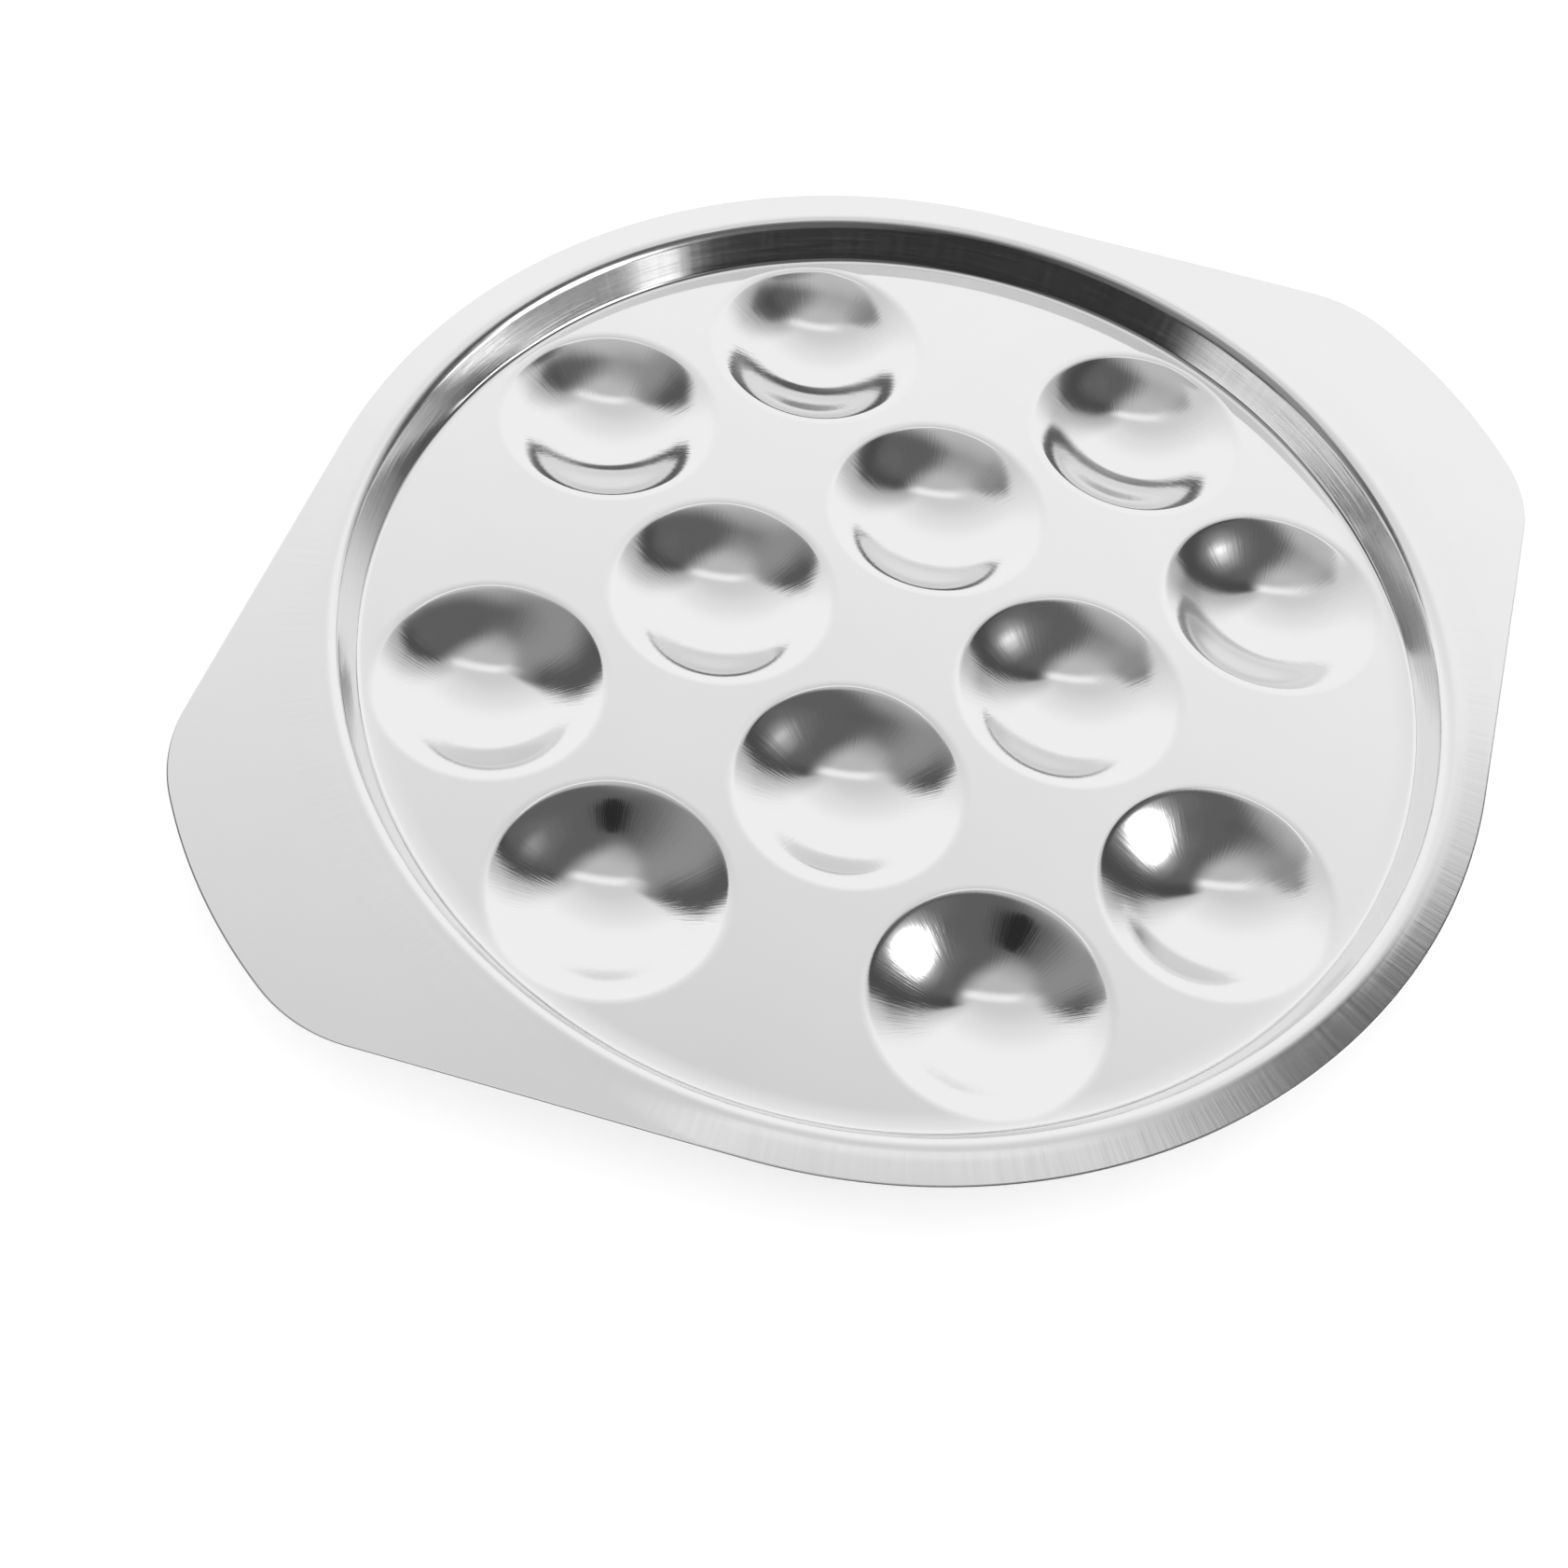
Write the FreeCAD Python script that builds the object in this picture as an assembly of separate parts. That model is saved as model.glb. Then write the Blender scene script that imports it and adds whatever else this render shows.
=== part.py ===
import FreeCAD, Part
import math
import os

# Escargot plate pressed from one sheet of stainless steel.
# Millimetres, +Z up. The origin is the middle of the plate at the height of the table,
# under the twelve bowls that the plate stands on. The two ears lie along X.

# Sheet
SHEET = 0.6              # thickness, the same in the floor, wall, rim, ears and bowls

# Rim and ears
RIM_DIAMETER = 200.0     # over the round part of the rim
RIM_BREADTH = 5.8        # flat of the round rim, from its bend out to its cut edge
EAR_REACH = 21.0         # how far each ear stands out past the round rim
EAR_SIDE_ANGLE = 43.5    # degrees between the side of an ear and X
EAR_END_RADIUS = 94.0    # the gently curved end of each ear
EAR_CORNER_RADIUS = 26.0
CUT_EDGE_BREAK = 0.1     # chamfer where the cut edge of the rim was dressed

# Well
WELL_DEPTH = 7.1         # from the top of the rim down to the top of the floor
WALL_LEAN = 22.5         # degrees that the wall opens outwards
RIM_BEND = 2.0           # radius inside the bend between rim and wall
FOOT_BEND = 1.2          # radius inside the bend between wall and floor

# Bowls
BOWLS_ACROSS = 4         # square grid of bowls with its corner places left out
BOWL_GAP = 3.05          # flat floor between the mouths of neighbouring bowls
BOWL_TO_FOOT = 0.2       # flat floor between the outer bowls and the foot bend of the wall
BOWL_RADIUS = 25.5       # inside radius of the spherical bottom
BOWL_SLOPE = 29.7        # degrees from level of the straight side between bottom and lip
BOWL_LIP = 5.6           # radius of the soft bend from the side up to the floor

NODE = "escargot_plate"


def bowl_grid():
    """Places of the bowls counted in pitches: a square grid without its four corner places."""
    half = (BOWLS_ACROSS - 1) / 2
    steps = [i - half for i in range(BOWLS_ACROSS)]
    return [(x, y) for x in steps for y in steps if min(abs(x), abs(y)) < half]


# Plan of the well, from the rim inwards
LEAN = math.radians(WALL_LEAN)
RIM_BEND_AT = RIM_DIAMETER / 2 - RIM_BREADTH
WALL_DROP = WELL_DEPTH - SHEET - RIM_BEND - FOOT_BEND
BENDS_APART = (RIM_BEND + SHEET + FOOT_BEND) / math.cos(LEAN)
FLOOR_RADIUS = RIM_BEND_AT - WALL_DROP * math.tan(LEAN) - BENDS_APART

# Bowls, as large as the floor leaves room for
FURTHEST = max(math.hypot(x, y) for x, y in bowl_grid())
BOWL_MOUTH = (FLOOR_RADIUS - BOWL_TO_FOOT - FURTHEST * BOWL_GAP) / (2 * FURTHEST + 1)
BOWL_PITCH = 2 * BOWL_MOUTH + BOWL_GAP
SLOPE = math.radians(BOWL_SLOPE)
BENDS_ACROSS = (BOWL_RADIUS + BOWL_LIP) * math.sin(SLOPE)
BENDS_DOWN = (BOWL_RADIUS + BOWL_LIP) * (1 - math.cos(SLOPE))
BOWL_DEPTH = BENDS_DOWN + (BOWL_MOUTH - BENDS_ACROSS) * math.tan(SLOPE)

# Heights, from the table up: the undersides of the bowls touch it
FLOOR_TOP = SHEET + BOWL_DEPTH
FLOOR_UNDER = FLOOR_TOP - SHEET
RIM_TOP = FLOOR_TOP + WELL_DEPTH
RIM_UNDER = RIM_TOP - SHEET


def wire(points_and_arcs):
    """Closed outline of straight runs and arcs: each entry is an end point, or (through, end) for an arc."""
    edges = []
    start = points_and_arcs[-1]
    start = start[1] if isinstance(start, tuple) else start
    for entry in points_and_arcs:
        if isinstance(entry, tuple):
            through, end = entry
            edges.append(Part.Arc(start, through, end).toShape())
        else:
            end = entry
            edges.append(Part.LineSegment(start, end).toShape())
        start = end
    return Part.Wire(edges)


def on_circle(centre, radius, angle):
    """Point at an angle in degrees from +X on a circle in the XZ plane."""
    turn = math.radians(angle)
    return centre + FreeCAD.Vector(math.cos(turn), 0, math.sin(turn)) * radius


def flat(outline, bottom, top):
    """Plate between two heights over a closed outline drawn at height zero."""
    face = Part.Face(outline)
    face.translate(FreeCAD.Vector(0, 0, bottom))
    return face.extrude(FreeCAD.Vector(0, 0, top - bottom))


def turned(section):
    """Solid of revolution round Z."""
    return Part.Face(section).revolve(FreeCAD.Vector(0, 0, 0), FreeCAD.Vector(0, 0, 1), 360)


def wall_ring():
    """Turned band of sheet: rim bend, leaning wall and foot bend, with flat ends to meet rim and floor."""
    # the rim bend turns about a point outside the well, the foot bend about a point over the floor
    rim_centre = FreeCAD.Vector(RIM_BEND_AT, 0, RIM_UNDER - RIM_BEND)
    foot_centre = FreeCAD.Vector(FLOOR_RADIUS, 0, FLOOR_TOP + FOOT_BEND)
    up = 90.0
    rim_to = 180.0 - WALL_LEAN
    rim_mid = (up + rim_to) / 2
    foot_from = -WALL_LEAN
    foot_mid = (foot_from - up) / 2
    outer, inner = RIM_BEND + SHEET, RIM_BEND
    near, far = FOOT_BEND, FOOT_BEND + SHEET
    return turned(wire([
        on_circle(rim_centre, outer, up),
        (on_circle(rim_centre, outer, rim_mid), on_circle(rim_centre, outer, rim_to)),
        on_circle(foot_centre, near, foot_from),
        (on_circle(foot_centre, near, foot_mid), on_circle(foot_centre, near, -up)),
        on_circle(foot_centre, far, -up),
        (on_circle(foot_centre, far, foot_mid), on_circle(foot_centre, far, foot_from)),
        on_circle(rim_centre, inner, rim_to),
        (on_circle(rim_centre, inner, rim_mid), on_circle(rim_centre, inner, up)),
    ]))


def ear_outline():
    """Round rim with both ears: each ear's sides run straight off the round rim as tangents."""
    rim = RIM_DIAMETER / 2
    tangent_at = math.radians(90 - EAR_SIDE_ANGLE)
    normal = FreeCAD.Vector(math.cos(tangent_at), math.sin(tangent_at), 0)
    along = FreeCAD.Vector(normal.y, -normal.x, 0)
    end_centre = FreeCAD.Vector(rim + EAR_REACH - EAR_END_RADIUS, 0, 0)
    # the corner's circle touches the side line and, from inside, the circle of the end
    start = normal * (rim - EAR_CORNER_RADIUS) - end_centre
    reach = start.dot(along)
    corner_run = -reach + math.sqrt(reach ** 2 - start.dot(start) + (EAR_END_RADIUS - EAR_CORNER_RADIUS) ** 2)
    corner_centre = normal * (rim - EAR_CORNER_RADIUS) + along * corner_run
    end_turn = math.atan2(corner_centre.y, corner_centre.x - end_centre.x)

    def spot(centre, radius, turn):
        return centre + FreeCAD.Vector(math.cos(turn), math.sin(turn), 0) * radius

    side_start = normal * rim
    side_end = side_start + along * corner_run
    corner_through = spot(corner_centre, EAR_CORNER_RADIUS, (tangent_at + end_turn) / 2)
    corner_end = spot(corner_centre, EAR_CORNER_RADIUS, end_turn)
    tip = spot(end_centre, EAR_END_RADIUS, 0)

    def across(p, sx, sy):
        return FreeCAD.Vector(p.x * sx, p.y * sy, 0)

    top = FreeCAD.Vector(0, rim, 0)
    return wire([
        across(side_end, 1, 1),
        (across(corner_through, 1, 1), across(corner_end, 1, 1)),
        (tip, across(corner_end, 1, -1)),
        (across(corner_through, 1, -1), across(side_end, 1, -1)),
        across(side_start, 1, -1),
        (across(top, 1, -1), across(side_start, -1, -1)),
        across(side_end, -1, -1),
        (across(corner_through, -1, -1), across(corner_end, -1, -1)),
        (across(tip, -1, 1), across(corner_end, -1, 1)),
        (across(corner_through, -1, 1), across(side_end, -1, 1)),
        across(side_start, -1, 1),
        (top, across(side_start, 1, 1)),
    ])


def circle(radius):
    return Part.Wire(Part.makeCircle(radius))


def rim_plate():
    """Flat rim with both ears, open in the middle, its cut edge lightly dressed."""
    plate = flat(ear_outline(), RIM_UNDER, RIM_TOP)
    border = [edge for edge in plate.Edges if edge.BoundBox.ZLength < SHEET / 2]
    plate = plate.makeChamfer(CUT_EDGE_BREAK, border)
    return plate.cut(flat(circle(RIM_BEND_AT), RIM_UNDER - SHEET, RIM_TOP + SHEET))


def bowl_places():
    """Middles of the bowls."""
    return [FreeCAD.Vector(x, y, 0) * BOWL_PITCH for x, y in bowl_grid()]


def bowl():
    """One bowl as turned sheet of even thickness: spherical bottom, straight side and soft lip."""
    ball = FreeCAD.Vector(0, 0, SHEET + BOWL_RADIUS)
    lip = FreeCAD.Vector(BOWL_MOUTH, 0, FLOOR_TOP - BOWL_LIP)
    down, up = -90.0, 90.0
    ball_to = down + BOWL_SLOPE
    ball_mid = (down + ball_to) / 2
    lip_from = up + BOWL_SLOPE
    lip_mid = (lip_from + up) / 2
    thick = BOWL_RADIUS + SHEET
    thin = BOWL_LIP - SHEET
    return turned(wire([
        on_circle(ball, BOWL_RADIUS, down),
        (on_circle(ball, BOWL_RADIUS, ball_mid), on_circle(ball, BOWL_RADIUS, ball_to)),
        on_circle(lip, BOWL_LIP, lip_from),
        (on_circle(lip, BOWL_LIP, lip_mid), on_circle(lip, BOWL_LIP, up)),
        on_circle(lip, thin, up),
        (on_circle(lip, thin, lip_mid), on_circle(lip, thin, lip_from)),
        on_circle(ball, thick, ball_to),
        (on_circle(ball, thick, ball_mid), on_circle(ball, thick, down)),
    ]))


def moved(shape, place):
    """Copy of a shape carried to a place."""
    copy = shape.copy()
    copy.translate(place)
    return copy


def floor_plate():
    """Flat floor of the well with a round opening at each bowl."""
    floor = flat(circle(FLOOR_RADIUS), FLOOR_UNDER, FLOOR_TOP)
    opening = flat(circle(BOWL_MOUTH), FLOOR_UNDER - SHEET, FLOOR_TOP + SHEET)
    for place in bowl_places():
        floor = floor.cut(moved(opening, place))
    return floor


def escargot_plate():
    """The whole pressing: rim, wall, floor and bowls joined into one solid of even sheet."""
    bowls = [moved(bowl(), place) for place in bowl_places()]
    return wall_ring().fuse([rim_plate(), floor_plate()] + bowls).removeSplitter()


os.makedirs("parts", exist_ok=True)
plate = escargot_plate()
plate.exportStep(os.path.join("parts", NODE + ".step"))
box = plate.BoundBox
print(NODE, "solids", len(plate.Solids), "valid", plate.isValid(), "faces", len(plate.Faces))
print("box", [round(v, 3) for v in (box.XMin, box.YMin, box.ZMin, box.XMax, box.YMax, box.ZMax)])
print("volume", round(plate.Volume, 1), "floor radius", round(FLOOR_RADIUS, 3), "floor top", round(FLOOR_TOP, 3))
print("bowl mouth", round(BOWL_MOUTH, 3), "pitch", round(BOWL_PITCH, 3), "depth", round(BOWL_DEPTH, 3))
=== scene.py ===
import math

import bmesh
import bpy
from bpy.props import FloatProperty, IntProperty, PointerProperty
from bpy.types import Operator, Panel, PropertyGroup
from mathutils import Matrix, Vector
from mathutils.geometry import delaunay_2d_cdt


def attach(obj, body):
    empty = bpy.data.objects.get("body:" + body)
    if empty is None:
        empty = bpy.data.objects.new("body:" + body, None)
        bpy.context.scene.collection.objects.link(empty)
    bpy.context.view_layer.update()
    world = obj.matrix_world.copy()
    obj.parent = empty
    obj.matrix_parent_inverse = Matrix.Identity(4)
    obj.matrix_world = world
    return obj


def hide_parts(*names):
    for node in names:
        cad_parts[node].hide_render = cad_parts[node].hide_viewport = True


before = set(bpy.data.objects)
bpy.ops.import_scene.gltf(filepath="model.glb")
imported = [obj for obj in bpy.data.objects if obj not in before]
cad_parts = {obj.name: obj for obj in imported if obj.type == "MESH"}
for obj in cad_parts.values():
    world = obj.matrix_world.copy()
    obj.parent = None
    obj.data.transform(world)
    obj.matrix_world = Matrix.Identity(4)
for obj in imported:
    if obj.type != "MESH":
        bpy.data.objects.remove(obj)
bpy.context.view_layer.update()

bl_info = {
    "name": "Escargot plate",
    "version": (1, 0, 0),
    "blender": (4, 5, 0),
    "location": "3D View > Sidebar > Plate",
    "description": "Pressed steel plate for twelve snails, with its studio",
    "category": "Object",
}

NODE = "escargot_plate"
SLOT = "polished_steel"
MM = 0.001
DEGREES = 180 / math.pi

# Bowls stand on a square grid without its four corner places
BOWLS_ACROSS = 4

# Steps of the mesh along the bends and along a quarter of the rim's outline
BALL_STEPS, SIDE_STEPS, SHOULDER_STEPS, LIP_STEPS, BRIM_STEPS = 14, 4, 6, 7, 4
FOOT_STEPS, BEND_STEPS = 9, 12
EAR_END_STEPS, EAR_CORNER_STEPS, EAR_SIDE_STEPS, ROUND_STEPS = 14, 18, 16, 46

# Joints between the turned parts and the flat ones
FLAT_BRIM = 0.03 * MM       # flat edge that each bowl brings to the floor
FLAT_START = 0.3 * MM       # flat edge that the wall brings to the rim
FLOOR_CLEAR = 0.25 * MM     # least room between a bowl's edge and the floor's own points
RISE_LEAD = 0.3 * MM        # row of floor points just before the soft rise
RISE_ROWS = 6               # rows of floor points on the soft rise
EDGE_ROW = 0.35 * MM        # close row of points inside the cut edge
RIM_ROWS = (0.9, 1.6, 2.6, 3.8, 5.0)    # millimetres out from the rim's bend
EAR_ROWS = (1.5, 4.0, 7.0)              # millimetres out from the round rim
EAR_ROWS_WITHIN = math.radians(44)      # how far round the ears these rows reach
CUT_EDGE_ANGLE = 1.2        # radians between faces; only the cut border is as sharp
CLOSE = 1e-6                # metres; vertices of one turned part that are the same point
TOUCHING = 2e-6             # metres; vertices of two parts that are the same point

# Hang of the narrow rim
HANG_START = 1.2 * MM       # width over which the rim bends into its hang
HANG_SPOT_FULL = math.radians(12)
HANG_SPOT_GONE = math.radians(34)

# Zones of the steel's finish: where each edge starts and where it is passed, out from the middle
WELL_EDGE = (0.0885, 0.0905)
WALL_TOP = (0.0955, 0.0940)
RIM_START = (0.0950, 0.0965)
RIM_END = (0.1025, 0.1005)
BOWLS_END = (0.0890, 0.0880)
BRUSHED_BOWL = (0.0085, 0.0185, 0.003)  # from, to and softness, out from a bowl's middle
BUMP_HEIGHT = 0.00006

# Studio
CAMERA_AT = (-0.138367, -0.154053, 0.282342)
CAMERA_AXES = ((0.869111, 0.368941, -0.329436),
               (-0.484921, 0.766804, -0.420552),
               (0.097454, 0.525257, 0.845345))
CAMERA_LENS = 46.3916
CAMERA_SENSOR = 36
CAMERA_NEAR = 0.01
LOOK = math.radians(38)     # direction in which the camera looks, from X towards Y
DARK_ROUND_AT = (-0.1400, -0.1545, 0.2779)
DARK_ROUND_RADIUS = 0.045
DARK_ROUND_SHADE = 0.012
FLOOR_RADIUS = 3.0
FLOOR_SHADE = 0.9
FLOOR_GLOW = 0.3
ROOM_RADIUS = 1.4
SCREEN_RADIUS = 0.48
DOME_HEIGHT = 0.0074        # both domes are centred at about the height of the well's floor
EXPOSURE = 1.205            # one over the steel's reflectance, so a mirrored grey shows its shade
LAMP_TURN, LAMP_HEIGHT = 313.5, 28.5
LAMP_LIGHT = 2.2
FLASH_LIGHT = 1.15
ROUND_SEGMENTS = 96


class Value:
    """A socket that takes part in Python expressions; each operator adds one Math node."""

    def __init__(self, tree, socket):
        self.tree = tree
        self.socket = socket

    def math(self, operation, *others):
        """Adds a Math node for this value and others, which may be plain numbers."""
        node = self.tree.nodes.new("ShaderNodeMath")
        node.operation = operation
        for slot, item in zip(node.inputs, (self,) + others):
            if isinstance(item, Value):
                self.tree.links.new(item.socket, slot)
            else:
                slot.default_value = item
        return Value(self.tree, node.outputs[0])

    def __add__(self, other):
        return self.math("ADD", other)

    __radd__ = __add__

    def __mul__(self, other):
        return self.math("MULTIPLY", other)

    __rmul__ = __mul__

    def __sub__(self, other):
        return self.math("SUBTRACT", other)

    def __rsub__(self, other):
        return (self * -1.0) + other

    def __truediv__(self, other):
        return self.math("DIVIDE", other)

    def __abs__(self):
        return self.math("ABSOLUTE")

    def clamped(self):
        """Value kept between 0 and 1."""
        return self.math("MAXIMUM", 0.0).math("MINIMUM", 1.0)

    def step(self, start, end):
        """Smooth rise from 0 at start to 1 at end; end may lie below start."""
        if end < start:
            return 1.0 - self.step(end, start)
        t = ((self - start) / (end - start)).clamped()
        return t * t * (3.0 - 2.0 * t)

    def band(self, low, high, soft):
        """1 between low and high, fading to 0 over soft on either side."""
        return self.step(low - soft, low + soft) * self.step(high + soft, high - soft)

    def toward(self, level, share):
        """Moves to a level by a share between 0 and 1."""
        return self + (level - self) * share


class Nodes:
    """Node tree of one material or world."""

    def __init__(self, tree):
        self.tree = tree
        tree.nodes.clear()

    def add(self, kind, settings=None, values=None):
        """Adds a node: its settings first, then the values or links of its sockets."""
        node = self.tree.nodes.new(kind)
        for name, setting in (settings or {}).items():
            setattr(node, name, setting)
        for name, value in (values or {}).items():
            socket = node.inputs[name]
            if isinstance(value, Value):
                self.tree.links.new(value.socket, socket)
            elif isinstance(value, bpy.types.NodeSocket):
                self.tree.links.new(value, socket)
            else:
                socket.default_value = value
        return node

    def value(self, socket):
        """Socket as a value for expressions."""
        return Value(self.tree, socket)

    def place(self):
        """Object coordinates."""
        return self.add("ShaderNodeTexCoord").outputs["Object"]

    def axes(self, vector):
        """X, Y and Z of a vector."""
        split = self.add("ShaderNodeSeparateXYZ", values={"Vector": vector})
        return [self.value(split.outputs[axis]) for axis in "XYZ"]

    def vector(self, x, y, z):
        """Vector made of three values."""
        node = self.add("ShaderNodeCombineXYZ", values={"X": x, "Y": y, "Z": z})
        return node.outputs[0]

    def grey(self, value):
        """Colour with the same value three times."""
        node = self.add("ShaderNodeCombineColor",
                        values={"Red": value, "Green": value, "Blue": value})
        return node.outputs[0]

    def noise(self, vector, scale, detail, roughness):
        """Soft noise between 0 and 1."""
        node = self.add("ShaderNodeTexNoise", values={
            "Vector": vector, "Scale": scale, "Detail": detail, "Roughness": roughness})
        return self.value(node.outputs["Fac"])

    def brushing(self, x, y, reach, around, across, detail, roughness):
        """Noise that changes by around along a circle, and by across from one circle to the next."""
        vector = self.vector(x / reach * around, y / reach * around, across)
        return self.noise(vector, 1.0, detail, roughness)

    def glow(self, light):
        """Light of the mirrored room."""
        return self.add("ShaderNodeEmission", values={
            "Color": self.grey(light * EXPOSURE), "Strength": 1.0})

    def finish(self, shader, kind="ShaderNodeOutputMaterial"):
        """Sends a shader to the tree's output."""
        self.add(kind, values={"Surface": shader.outputs[0]})


def linear(shade):
    """Light value of a grey between 0 and 255 as a screen shows it."""
    share = shade / 255.0
    return share / 12.92 if share <= 0.04045 else ((share + 0.055) / 1.055) ** 2.4


def length(name, description, millimetres):
    """Property for a length."""
    return FloatProperty(name=name, description=description, default=millimetres * MM,
                         unit="LENGTH", precision=5)


def angle(name, description, degrees):
    """Property for an angle."""
    return FloatProperty(name=name, description=description, default=math.radians(degrees),
                         subtype="ANGLE")


class PlateSizes(PropertyGroup):
    """Sizes of the plate."""
    sheet: length("Sheet", "Thickness of the steel", 0.6)
    rim_radius: length("Rim radius", "Radius of the round part of the rim", 100)
    rim_breadth: length("Rim breadth", "Flat of the round rim outside its bend", 5.8)
    ear_reach: length("Ear reach", "How far an ear stands out past the round rim", 21)
    ear_side: angle("Ear side", "Angle between the side of an ear and X", 43.5)
    ear_end: length("Ear end radius", "Radius of the curved end of an ear", 94)
    ear_corner: length("Ear corner radius", "Radius of the corners of an ear", 26)
    edge_break: length("Edge break", "Dressing of the cut edge", 0.1)
    well_depth: length("Well depth", "From the rim's top down to the floor's top", 7.1)
    wall_lean: angle("Wall lean", "How far the wall leans outwards beside the soft rise", 22.5)
    far_lean: angle("Far wall lean", "How far the wall leans where the floor has no rise", 25)
    rim_bend: length("Rim bend", "Outer radius of the bend between rim and wall", 2.6)
    foot_bend: length("Foot bend", "Inner radius of the bend between wall and floor", 1.2)
    rise_radius: length("Rise radius", "Soft rise of the floor towards its wall", 17)
    rise_angle: angle("Rise angle", "Slope of the floor where the foot bend starts", 10)
    rise_turn: angle("Rise middle", "Direction from X of the side with the soft rise", 250)
    rise_full: angle("Rise full", "Angle either way over which the rise is full", 75)
    rise_gone: angle("Rise gone", "Angle either way at which the rise has gone", 115)
    pitch: length("Bowl pitch", "Between the middles of neighbouring bowls", 43.267)
    ball: length("Bowl radius", "Inner radius of a bowl's round bottom", 26.2)
    ball_slope: angle("Bottom slope", "Slope at which the round bottom ends", 28.7)
    side: length("Side radius", "Hollow of the nearly straight side of a bowl", 72)
    side_slope: angle("Side slope", "Steepest slope of a bowl", 30.8)
    shoulder: length("Shoulder radius", "Gentle bend above the side", 39)
    shoulder_slope: angle("Shoulder slope", "Slope at which the shoulder ends", 25)
    lip: length("Bowl lip", "Bend at the edge of a bowl", 4.0)
    lip_slope: angle("Lip slope", "Slope at which the lip ends", 6)
    brim: length("Brim radius", "Softer bend from the lip out to the flat floor", 6.0)
    hang: angle("Rim hang", "How far the narrow rim hangs outwards between the ears", 4.2)
    hang_more: angle("Hang more", "How much further the rim hangs at one spot", 1.8)
    hang_spot: angle("Hang spot", "Direction from X to the middle of that spot", 240)
    hang_from: angle("Hang starts", "Angle from X where the rim starts to hang", 14)
    hang_to: angle("Hang full", "Angle from X where the rim hangs fully", 48)
    turns: IntProperty(name="Turns", description="Steps round the wall", default=240, min=48)
    bowl_turns: IntProperty(name="Bowl turns", description="Steps round a bowl",
                            default=84, min=24)


class SteelLook(PropertyGroup):
    """Finish of the steel."""
    gloss: FloatProperty(name="Roughness", description="Least roughness of the polish",
                         default=0.045, min=0.0, max=1.0)
    shade: FloatProperty(name="Reflectance", description="Least share of light that the steel mirrors",
                         default=0.815, min=0.0, max=1.0)


def ease(value, start, end):
    """Smooth share from 0 at start to 1 at end."""
    t = min(max((value - start) / (end - start), 0), 1)
    return t * t * (3 - 2 * t)


def turn_away(co, middle):
    """Angle either way between the direction of a place and another direction, seen from above."""
    return abs((math.atan2(co.y, co.x) - middle + math.pi) % (2 * math.pi) - math.pi)


def arc(centre, radius, start, end, steps):
    """Points of an arc in the XZ plane, both ends included; angles in degrees."""
    points = []
    for i in range(steps + 1):
        turn = math.radians(start + (end - start) * i / steps)
        points.append(Vector((centre[0] + radius * math.cos(turn), 0,
                              centre[1] + radius * math.sin(turn))))
    return points


def ring_points(radius, count):
    """Points of a circle seen from above."""
    turns = [2 * math.pi * i / count for i in range(count)]
    return [Vector((radius * math.cos(t), radius * math.sin(t))) for t in turns]


def outside(radius, count):
    """Least distance from the middle of a many-sided hole for a triangle that lies outside it."""
    return radius * (1 - 9 / count ** 2)


def bowl_section(s):
    """Section of a bowl from its middle outwards, its bottom at height zero.

    Its arcs run on from each other: each entry is a radius, the slope at its end and its steps.
    """
    bends = [(s.ball, s.ball_slope, BALL_STEPS), (s.side, s.side_slope, SIDE_STEPS),
             (-s.shoulder, s.shoulder_slope, SHOULDER_STEPS), (-s.lip, s.lip_slope, LIP_STEPS),
             (-s.brim, 0.0, BRIM_STEPS)]
    points = [Vector((0, 0, 0))]
    slope = 0.0
    for radius, end, steps in bends:
        start = points[-1]
        for i in range(1, steps + 1):
            now = slope + (end - slope) * i / steps
            run = math.sin(now) - math.sin(slope)
            rise = math.cos(slope) - math.cos(now)
            points.append(start + Vector((run, 0, rise)) * radius)
        slope = end
    return points


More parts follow.
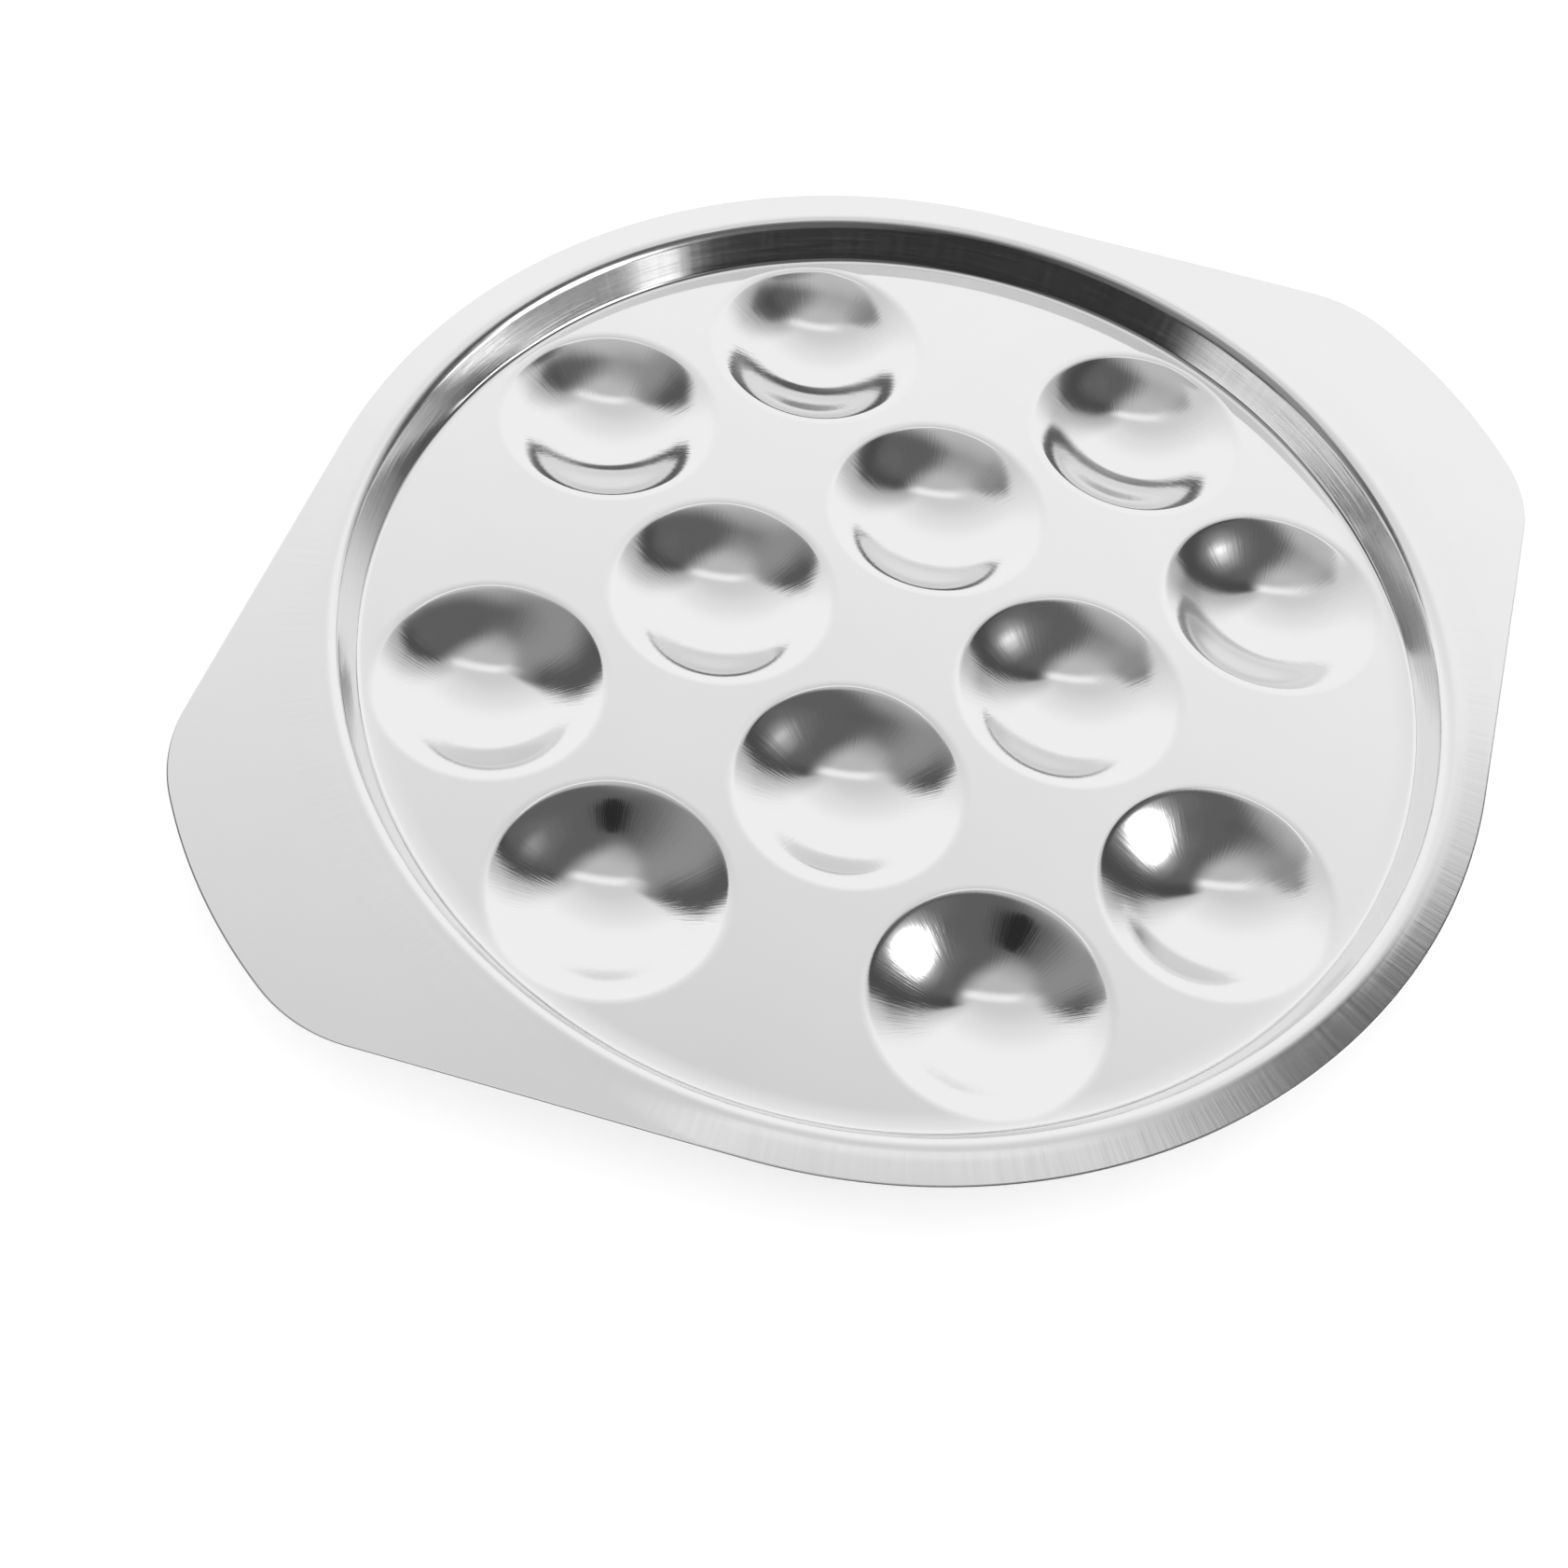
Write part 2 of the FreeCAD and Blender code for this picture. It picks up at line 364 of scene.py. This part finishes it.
class Plan:
    """Heights and places worked out from the sizes."""

    def __init__(self, s):
        self.s = s
        self.section = bowl_section(s)
        self.mouth = self.section[-1].x
        self.floor = s.sheet + self.section[-1].z
        self.rim = self.floor + s.well_depth
        self.bend_at = s.rim_radius - s.rim_breadth
        self.bend_centre = (self.bend_at, self.rim - s.rim_bend)
        half = (BOWLS_ACROSS - 1) / 2
        steps = [i - half for i in range(BOWLS_ACROSS)]
        self.bowls = [Vector((x, y, 0)) * s.pitch for x in steps for y in steps
                      if min(abs(x), abs(y)) < half]
        self.near_wall, self.near_foot = self.wall_section(s.rise_angle, s.wall_lean)
        self.far_wall, self.far_foot = self.wall_section(0.0, s.far_lean)
        self.rise_start = self.near_foot - s.rise_radius * math.sin(s.rise_angle)

    def wall_section(self, rise_angle, lean):
        """Foot bend and rim bend of the wall, and the radius at which the foot bend starts."""
        s = self.s
        tilt = math.radians(90) - lean
        top = (self.bend_at - s.rim_bend * math.sin(tilt),
               self.bend_centre[1] + s.rim_bend * math.cos(tilt))
        low_rise = s.rise_radius * (1 - math.cos(rise_angle))
        foot_height = self.floor + low_rise + s.foot_bend * (math.cos(rise_angle) - math.cos(tilt))
        foot_end = top[0] - (top[1] - foot_height) / math.tan(tilt)
        centre = (foot_end - s.foot_bend * math.sin(tilt),
                  foot_height + s.foot_bend * math.cos(tilt))
        steep = math.degrees(tilt)
        foot = arc(centre, s.foot_bend, -90 + math.degrees(rise_angle), -90 + steep, FOOT_STEPS)
        bend = arc(self.bend_centre, s.rim_bend, 90 + steep, 90, BEND_STEPS)
        flat = Vector((self.bend_at + FLAT_START, 0, self.rim))
        return foot + bend + [flat], centre[0] + s.foot_bend * math.sin(rise_angle)

    def near(self, co):
        """How much the floor rises softly into its wall: fully on one side, not on the other."""
        return 1 - ease(turn_away(co, self.s.rise_turn), self.s.rise_full, self.s.rise_gone)

    def raised(self, co):
        """Where a point of the flat floor goes as the floor's edge rises towards the wall."""
        radius = co.xy.length
        whole = self.near_foot - self.rise_start
        out = min(max(radius - self.rise_start, 0), whole)
        if out == 0:
            return co
        share = self.near(co)
        height = self.s.rise_radius - math.sqrt(self.s.rise_radius ** 2 - out ** 2)
        slid = radius - (1 - share) * (self.near_foot - self.far_foot) * out / whole
        return Vector((co.x * slid / radius, co.y * slid / radius, co.z + share * height))

    def from_bowl(self, place):
        """Distance between a floor point and the middle of the nearest bowl."""
        return min((place - bowl.xy).length for bowl in self.bowls)


def spun(bm, points, steps):
    """Adds the surface of revolution round Z of a line of points."""
    verts = [bm.verts.new(p) for p in points]
    edges = [bm.edges.new(pair) for pair in zip(verts, verts[1:])]
    bmesh.ops.spin(bm, geom=verts + edges, cent=(0, 0, 0), axis=(0, 0, 1), dvec=(0, 0, 0),
                   angle=2 * math.pi, steps=steps, use_merge=True, use_duplicate=False)


def carried(bm, geometry, place):
    """Moves the vertices among some geometry by a place."""
    verts = [v for v in geometry if isinstance(v, bmesh.types.BMVert)]
    bmesh.ops.translate(bm, verts=verts, vec=place)


def sheet_between(bm, outline, holes, extra, height, keep):
    """Flat sheet of triangles in an outline and through extra points, where keep accepts them."""
    points = []
    edges = []
    for loop in [outline] + holes:
        start = len(points)
        points += loop
        edges += [(start + i, start + (i + 1) % len(loop)) for i in range(len(loop))]
    points += extra
    inside_only, exactness = 1, 1e-7
    places, _, faces, _, _, _ = delaunay_2d_cdt(points, edges, [], inside_only, exactness)
    verts = [bm.verts.new((p.x, p.y, height)) for p in places]
    for face in faces:
        middle = sum((places[i] for i in face), Vector((0, 0))) / len(face)
        if keep(middle):
            bm.faces.new([verts[i] for i in face])
    bmesh.ops.delete(bm, geom=[v for v in verts if not v.link_faces], context="VERTS")


def add_bowls(bm, plan):
    """Twelve turned bowls, each with a narrow flat brim at the height of the floor."""
    points = [p + Vector((0, 0, plan.s.sheet)) for p in plan.section]
    points.append(points[-1] + Vector((FLAT_BRIM, 0, 0)))
    spun(bm, points, plan.s.bowl_turns)
    bmesh.ops.remove_doubles(bm, verts=bm.verts[:], dist=CLOSE)
    first = bm.verts[:] + bm.edges[:] + bm.faces[:]
    for place in plan.bowls[1:]:
        carried(bm, bmesh.ops.duplicate(bm, geom=first)["geom"], place)
    carried(bm, first, plan.bowls[0])


def add_floor(bm, plan):
    """Floor between the bowls, then the soft rise at its edge, which lifts the outer lips too."""
    s = plan.s
    brim = plan.mouth + FLAT_BRIM
    holes = [[p + bowl.xy for p in ring_points(brim, s.bowl_turns)] for bowl in plan.bowls]
    whole = plan.near_foot - plan.rise_start
    rows = [plan.rise_start - RISE_LEAD]
    rows += [plan.rise_start + whole * i / RISE_ROWS for i in range(RISE_ROWS)]
    extra = [p for radius in rows for p in ring_points(radius, s.turns)
             if plan.from_bowl(p) > brim + FLOOR_CLEAR]
    sheet_between(bm, ring_points(plan.near_foot, s.turns), holes, extra, plan.floor,
                  lambda middle: plan.from_bowl(middle) > outside(brim, s.bowl_turns))
    for v in bm.verts:
        v.co = plan.raised(v.co)


def add_wall(bm, plan):
    """Turned wall from its foot bend to the start of the flat rim, steeper beside the soft rise."""
    wall = bmesh.new()
    spun(wall, plan.near_wall, plan.s.turns)
    for v in wall.verts:
        place = Vector((v.co.xy.length, 0, v.co.z))
        i = min(range(len(plan.near_wall)),
                key=lambda k: (plan.near_wall[k] - place).length_squared)
        at = plan.far_wall[i].lerp(plan.near_wall[i], plan.near(v.co))
        v.co = Vector((v.co.x * at.x / place.x, v.co.y * at.x / place.x, at.z))
    mesh = bpy.data.meshes.new("wall")
    wall.to_mesh(mesh)
    wall.free()
    bm.from_mesh(mesh)
    bpy.data.meshes.remove(mesh)


def ear_outline(plan):
    """Outline of the rim: round, with two ears whose straight sides are tangents of the round."""
    s = plan.s
    rim = s.rim_radius
    touch = math.radians(90) - s.ear_side
    normal = Vector((math.cos(touch), math.sin(touch)))
    along = Vector((normal.y, -normal.x))
    end_centre = Vector((rim + s.ear_reach - s.ear_end, 0))
    # the corner's circle touches the side line and, from inside, the circle of the end
    start = normal * (rim - s.ear_corner) - end_centre
    reach = start.dot(along)
    between = s.ear_end - s.ear_corner
    run = -reach + math.sqrt(reach ** 2 - start.length_squared + between ** 2)
    corner = normal * (rim - s.ear_corner) + along * run
    end_turn = math.atan2(corner.y, corner.x - end_centre.x)

    def spots(centre, radius, begin, end, steps):
        turns = [begin + (end - begin) * i / steps for i in range(steps + 1)]
        return [centre + Vector((math.cos(t), math.sin(t))) * radius for t in turns]

    quarter = spots(end_centre, s.ear_end, 0, end_turn, EAR_END_STEPS)
    quarter += spots(corner, s.ear_corner, end_turn, touch, EAR_CORNER_STEPS)[1:]
    base = quarter[-1]
    quarter += [base.lerp(normal * rim, i / EAR_SIDE_STEPS) for i in range(1, EAR_SIDE_STEPS + 1)]
    quarter += spots(Vector((0, 0)), rim, touch, math.pi / 2, ROUND_STEPS)[1:]
    half = quarter + [Vector((-p.x, p.y)) for p in reversed(quarter[:-1])]
    return half + [Vector((p.x, -p.y)) for p in reversed(half[1:-1])]


def add_rim(bm, plan):
    """Flat rim and ears, from the bend out to the cut edge, with a close row along the edge."""
    s = plan.s
    inner = plan.bend_at + FLAT_START
    outline = ear_outline(plan)
    edge_row = []
    for i, p in enumerate(outline):
        along = (outline[(i + 1) % len(outline)] - outline[i - 1]).normalized()
        edge_row.append(p + Vector((-along.y, along.x)) * EDGE_ROW)
    rows = []
    for out in RIM_ROWS:
        rows += ring_points(plan.bend_at + out * MM, s.turns)
    for out in EAR_ROWS:
        radius = s.rim_radius + out * MM
        within = EAR_ROWS_WITHIN - math.acos(s.rim_radius / radius)
        rows += [p for p in ring_points(radius, s.turns) if math.atan2(abs(p.y), abs(p.x)) < within]
    sheet_between(bm, outline, [edge_row, ring_points(inner, s.turns)], rows, plan.rim,
                  lambda middle: middle.length > outside(inner, s.turns))


def hang_rim(bm, plan):
    """Lets the narrow rim hang outwards a little between the ears, and more at one spot."""
    s = plan.s
    for v in bm.verts:
        out = v.co.xy.length - plan.bend_at
        if out > 0:
            side = ease(math.atan2(abs(v.co.y), abs(v.co.x)), s.hang_from, s.hang_to)
            spot = 1 - ease(turn_away(v.co, s.hang_spot), HANG_SPOT_FULL, HANG_SPOT_GONE)
            run = min(out, s.rim_breadth)
            if run < HANG_START:
                slid = run * run / (2 * HANG_START)
            else:
                slid = run - HANG_START / 2
            v.co.z -= math.tan(side * s.hang + spot * s.hang_more) * slid


def pressed_sheet(plan):
    """Upper face of the plate, then its thickness and its dressed edge."""
    bm = bmesh.new()
    add_bowls(bm, plan)
    add_floor(bm, plan)
    add_wall(bm, plan)
    add_rim(bm, plan)
    hang_rim(bm, plan)
    bmesh.ops.remove_doubles(bm, verts=bm.verts[:], dist=TOUCHING)
    bmesh.ops.recalc_face_normals(bm, faces=bm.faces[:])
    if sum(f.normal.z * f.calc_area() for f in bm.faces) < 0:
        bmesh.ops.reverse_faces(bm, faces=bm.faces[:])
    bmesh.ops.solidify(bm, geom=bm.faces[:], thickness=plan.s.sheet)
    border = [e for e in bm.edges
              if len(e.link_faces) == 2 and e.calc_face_angle() > CUT_EDGE_ANGLE]
    bmesh.ops.bevel(bm, geom=border, offset=plan.s.edge_break, segments=2, affect="EDGES",
                    profile=0.5, material=-1)
    for face in bm.faces:
        face.smooth = True
    return bm


def new_material(name):
    """Material and its empty node tree."""
    material = bpy.data.materials.new(name)
    material.use_nodes = True
    return material, Nodes(material.node_tree)


def new_object(name, bm, material):
    """Object from a finished bmesh, which is freed."""
    mesh = bpy.data.meshes.new(name)
    bm.to_mesh(mesh)
    bm.free()
    mesh.materials.append(material)
    piece = bpy.data.objects.new(name, mesh)
    bpy.context.scene.collection.objects.link(piece)
    return piece


def polished_steel(look, pitch):
    """Bright pressed steel, a little wavy and hazy, finely brushed on wall, rim and bowls."""
    material, n = new_material(SLOT)
    place = n.place()
    x, y, z = n.axes(place)
    radius = (x * x + y * y).math("SQRT").math("MAXIMUM", 0.001)
    haze = n.noise(place, 60.0, 3.0, 0.6)
    wave = n.noise(place, 25.0, 1.0, 0.4)
    # brushing out from the plate's middle, and lines that run round the wall
    fine = n.brushing(x, y, radius, 90.0, radius * 40.0, 3.0, 0.6)
    along = n.brushing(x, y, radius, 5.0, z * 2200.0, 2.0, 0.6)
    outer = radius.step(*WELL_EDGE)
    wall = outer * radius.step(*WALL_TOP)
    rim = radius.step(*RIM_START) * radius.step(*RIM_END)
    # brushing out from the middle of each bowl, kept off the grid's empty corner places
    across = ((x / pitch).math("FRACT") - 0.5) * pitch
    down = ((y / pitch).math("FRACT") - 0.5) * pitch
    reach = (across * across + down * down).math("SQRT").math("MAXIMUM", 0.0005)
    bristle = n.brushing(across, down, reach, 34.0, reach * 120.0, 3.0, 0.7)
    bowls = abs(x).math("MINIMUM", abs(y)).step(pitch * 1.003, pitch * 0.997)
    inside = reach.band(*BRUSHED_BOWL) * radius.step(*BOWLS_END) * bowls
    rough = (look.gloss + 0.03 * haze + 0.10 * outer * fine + 0.10 * wall * along
             + 0.055 * rim + 0.05 * inside * bristle)
    height = (wave + 0.06 * outer * fine + 0.27 * rim * fine + 0.35 * wall * along
              + 0.3 * inside * bristle)
    bump = n.add("ShaderNodeBump", values={
        "Height": height, "Strength": 1.0, "Distance": BUMP_HEIGHT})
    n.finish(n.add("ShaderNodeBsdfPrincipled", values={
        "Base Color": n.grey(look.shade + 0.03 * haze), "Metallic": 1.0, "Roughness": rough,
        "Normal": bump.outputs[0]}))
    return material


def plain(name, shade, glow):
    """Dull grey that also gives off some light."""
    material, n = new_material(name)
    colour = (shade, shade, shade, 1)
    n.finish(n.add("ShaderNodeBsdfPrincipled", values={
        "Base Color": colour, "Roughness": 0.9, "Specular IOR Level": 0.0,
        "Emission Color": colour, "Emission Strength": glow}))
    return material


class Bearings:
    """Directions from the middle of a dome, in degrees, and places on a level ceiling over it.

    turn goes round from X and height up from level. over goes up from level along the camera's
    look, so 90 is overhead and more is on the camera's side. far and side run along and across
    that look on the ceiling, counted in its heights.
    """

    def __init__(self, n):
        line = n.add("ShaderNodeVectorMath", {"operation": "NORMALIZE"}, {"Vector": n.place()})
        x, y, z = n.axes(line.outputs[0])
        self.x, self.y, self.z = x, y, z
        ahead = x * math.cos(LOOK) + y * math.sin(LOOK)
        beside = y * math.cos(LOOK) - x * math.sin(LOOK)
        up = z.math("MAXIMUM", 0.02)
        self.height = z.math("ARCSINE") * DEGREES
        self.turn = (y.math("ARCTAN2", x) * DEGREES).math("WRAP", 360.0, 0.0)
        self.over = z.math("ARCTAN2", ahead) * DEGREES
        self.far = ahead / up
        self.side = beside / up

    def apart(self, turn, height):
        """Degrees from one direction."""
        t, h = math.radians(turn), math.radians(height)
        level = self.x * (math.cos(t) * math.cos(h)) + self.y * (math.sin(t) * math.cos(h))
        return (level + self.z * math.sin(h)).math("ARCCOSINE") * DEGREES


def light_material(name):
    """Material of a dome, which is seen in the steel only and so isn't searched for as a lamp."""
    material, n = new_material(name)
    material.cycles.emission_sampling = "NONE"
    return material, n, Bearings(n)


def fade(start, end, share):
    """Light that goes from one grey to another."""
    return linear(start) + (linear(end) - linear(start)) * share


def layered(light, patches):
    """Lays patches over a light, each a level and its share in every direction."""
    for level, share in patches:
        light = light.toward(level, share)
    return light


def far_room():
    """Bright far side and greyer ceiling with a bright strip, dark to the right and behind."""
    material, n, d = light_material("far_room")
    tilt = (d.over + d.height) * 0.5
    right = d.turn.math("WRAP", 180.0, -180.0)
    slant = d.far + 0.35 * d.side.math("MINIMUM", 0.3)
    edge = d.side + 0.35 * d.far.math("MAXIMUM", 0.0) + 0.6 * d.far.math("MINIMUM", 0.0)
    behind = layered(fade(183, 72, d.over.step(92, 126)), [
        (linear(138), d.side.step(0.2, 0.6) * d.over.step(88, 98)),
    ])
    light = layered(fade(238, 218, tilt.step(38, 66)), [
        # greyer overhead
        (linear(203), tilt.step(60, 76)),
        # softer towards the right, most of all low down
        (linear(175), right.step(16, -6) * d.height.step(75, 60)),
        (linear(120), right.step(10, -8) * d.height.step(26, 12)),
        # bright strip, and the greyer ceiling on the camera's side of it
        (linear(235), slant.band(0.10, 0.19, 0.04) * d.side.band(-0.36, 0.28, 0.12)),
        (behind, slant.step(0.10, 0.04)),
        # dark side to the right
        (linear(92), edge.step(-0.12, -0.42) * (d.side + 1.04 * d.far).step(0.10, -0.10)),
    ])
    n.finish(n.glow(light))
    return material


def near_screen():
    """Darker surroundings close by on the camera's side, with one round soft light."""
    material, n, d = light_material("near_screen")
    low = d.height.step(16, 11)
    lamp = d.apart(LAMP_TURN, LAMP_HEIGHT)
    light = layered(fade(92, 138, d.turn.step(208, 158)), [
        # left end, the strip over the lamp, the part beside the camera, right end, lower part
        (linear(84), d.turn.step(150, 130) * d.height.step(60, 42)),
        (linear(103), d.turn.band(285, 325, 12) * d.height.band(46, 58, 4)),
        (linear(48), d.turn.band(214, 248, 12) * d.height.step(64, 56)),
        (linear(72), d.turn.band(340, 352, 5) * d.height.step(68, 58)),
        (linear(46), d.turn.band(160, 292, 12) * d.height.step(36, 20)),
        # low panels that the far wall mirrors
        (linear(220), d.turn.band(100, 184, 4) * low),
        (FLASH_LIGHT, d.turn.band(288.5, 298, 1) * low),
        (linear(132), d.turn.band(299.5, 323, 1) * low),
        (LAMP_LIGHT, d.turn.band(324.5, 339, 1.5) * low),
        # the lamp: soft surround, paler ring and bright middle
        (linear(150), lamp.step(26, 18) * d.turn.step(347, 322)),
        (linear(205), lamp.step(19.5, 15.5) * d.turn.step(334, 331)),
        (LAMP_LIGHT, lamp.step(16.4, 13.0) * d.turn.step(330.5, 327)),
    ])
    # the screen ends on the far side and fades out upwards
    left = (d.turn - 0.17 * (d.height - 40.0)).step(115, 123)
    share = left * d.turn.step(355, 349.5) * d.height.step(69, 55)
    clear = n.add("ShaderNodeBsdfTransparent")
    n.finish(n.add("ShaderNodeMixShader", values={
        "Fac": share, 1: clear.outputs[0], 2: n.glow(light).outputs[0]}))
    return material


def only_mirrored(piece):
    """Hides a piece from every ray but those that the steel mirrors."""
    for way in ("camera", "diffuse", "shadow", "transmission", "volume_scatter"):
        setattr(piece, "visible_" + way, False)


def dome(name, radius, material):
    """Upper half of a ball that only the steel mirrors; its object stands at the ball's middle."""
    bm = bmesh.new()
    bmesh.ops.create_uvsphere(bm, u_segments=ROUND_SEGMENTS, v_segments=ROUND_SEGMENTS // 2,
                              radius=radius)
    bmesh.ops.bisect_plane(bm, geom=bm.verts[:] + bm.edges[:] + bm.faces[:], dist=CLOSE,
                           plane_co=(0, 0, 0), plane_no=(0, 0, 1), clear_inner=True,
                           clear_outer=False)
    piece = new_object(name, bm, material)
    piece.location.z = DOME_HEIGHT
    only_mirrored(piece)


def disc(name, radius, material):
    """Flat round piece of the stage."""
    bm = bmesh.new()
    bmesh.ops.create_circle(bm, cap_ends=True, radius=radius, segments=ROUND_SEGMENTS)
    piece = new_object(name, bm, material)
    return piece


def dark_round():
    """Dark round panel about the camera, which faces away from the plate and only it mirrors."""
    panel = disc("dark_round", DARK_ROUND_RADIUS, plain("dark_panel", DARK_ROUND_SHADE, 1.0))
    turn = Vector(DARK_ROUND_AT).to_track_quat("Z", "Y").to_matrix().to_4x4()
    panel.matrix_world = Matrix.Translation(DARK_ROUND_AT) @ turn
    only_mirrored(panel)


def white_world():
    """Even white light for the floor."""
    world = bpy.data.worlds.new("studio")
    bpy.context.scene.world = world
    world.use_nodes = True
    n = Nodes(world.node_tree)
    white = n.add("ShaderNodeBackground", values={"Color": (1, 1, 1, 1), "Strength": 1.0})
    n.finish(white, "ShaderNodeOutputWorld")


def studio_camera():
    """Camera of the picture."""
    data = bpy.data.cameras.new("camera")
    data.lens = CAMERA_LENS
    data.sensor_width = CAMERA_SENSOR
    data.clip_start = CAMERA_NEAR
    camera = bpy.data.objects.new("camera", data)
    camera.matrix_world = Matrix.Translation(CAMERA_AT) @ Matrix(CAMERA_AXES).to_4x4()
    bpy.context.scene.collection.objects.link(camera)
    bpy.context.scene.camera = camera


class OBJECT_OT_plate_shell(Operator):
    """Make the pressed steel plate in place of the plain solid"""
    bl_idname = "object.plate_shell"
    bl_label = "Steel plate"

    def execute(self, context):
        sizes = context.scene.plate_sizes
        steel = polished_steel(context.scene.steel_look, sizes.pitch)
        shell = new_object("steel_shell", pressed_sheet(Plan(sizes)), steel)
        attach(shell, "root")
        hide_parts(NODE)
        return {"FINISHED"}


class SCENE_OT_plate_studio(Operator):
    """Make the floor, the soft studio light and the camera"""
    bl_idname = "scene.plate_studio"
    bl_label = "Studio"

    def execute(self, context):
        white_world()
        dome("far_room", ROOM_RADIUS, far_room())
        dome("near_screen", SCREEN_RADIUS, near_screen())
        dark_round()
        disc("floor", FLOOR_RADIUS, plain("floor_white", FLOOR_SHADE, FLOOR_GLOW))
        studio_camera()
        context.scene.view_settings.view_transform = "Standard"
        return {"FINISHED"}


class VIEW3D_PT_plate(Panel):
    """Plate and studio with their sizes"""
    bl_label = "Escargot plate"
    bl_space_type = "VIEW_3D"
    bl_region_type = "UI"
    bl_category = "Plate"

    def draw(self, context):
        column = self.layout.column()
        column.operator(OBJECT_OT_plate_shell.bl_idname)
        column.operator(SCENE_OT_plate_studio.bl_idname)
        for group in (context.scene.plate_sizes, context.scene.steel_look):
            for name in group.__annotations__:
                column.prop(group, name)


CLASSES = (PlateSizes, SteelLook, OBJECT_OT_plate_shell, SCENE_OT_plate_studio, VIEW3D_PT_plate)


def register():
    for cls in CLASSES:
        bpy.utils.register_class(cls)
    bpy.types.Scene.plate_sizes = PointerProperty(type=PlateSizes)
    bpy.types.Scene.steel_look = PointerProperty(type=SteelLook)


def unregister():
    del bpy.types.Scene.steel_look
    del bpy.types.Scene.plate_sizes
    for cls in reversed(CLASSES):
        bpy.utils.unregister_class(cls)


def main():
    register()
    bpy.ops.object.plate_shell()
    bpy.ops.scene.plate_studio()


if __name__ == "__main__":
    main()
